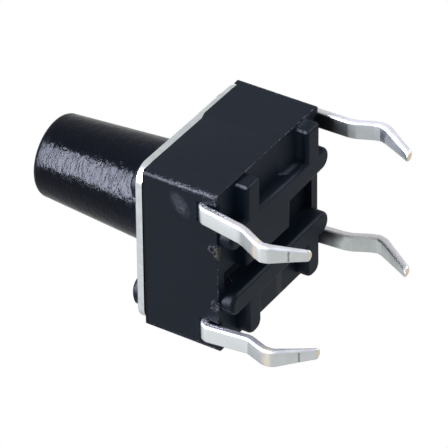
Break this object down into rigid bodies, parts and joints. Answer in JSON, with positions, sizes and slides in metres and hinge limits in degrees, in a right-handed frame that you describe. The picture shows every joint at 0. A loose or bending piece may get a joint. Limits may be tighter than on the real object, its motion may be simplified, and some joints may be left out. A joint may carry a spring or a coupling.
{
  "type": "tactile push button switch",
  "caption": "Through-hole tactile switch with a square housing, a riveted metal cover, a tall tapered round button and kinked solder pins.",
  "frame": {"origin": "centre of the footprint on the circuit board's surface, on the face of the housing's standoff pad", "axes": "+Z out of the board along the button, +X and -X towards the pins, +Y and -Y towards the pinless sides"},
  "size_m": [0.0078, 0.006, 0.0117],
  "materials": {
    "housing": "moulded glass-filled nylon, satin",
    "cover": "stamped tin-plated steel",
    "button": "moulded, glossy with fine flow lines",
    "dome": "bright spring steel",
    "terminals": "silver-plated brass strip, bright with fine scratches"
  },
  "bodies": {
    "body": {"housing": "housing", "cover": "cover", "snap_dome": "dome", "common_terminal": "terminals", "centre_terminal": "terminals"},
    "button": {"button": "button"}
  },
  "joints": [
    {"name": "button_press", "type": "slide", "parent": "body", "child": "button", "axis": [0, 0, -1], "range_m": [0, 0.00025], "stiffness_N_per_m": 6400, "deforming": ["snap_dome"]}
  ]
}
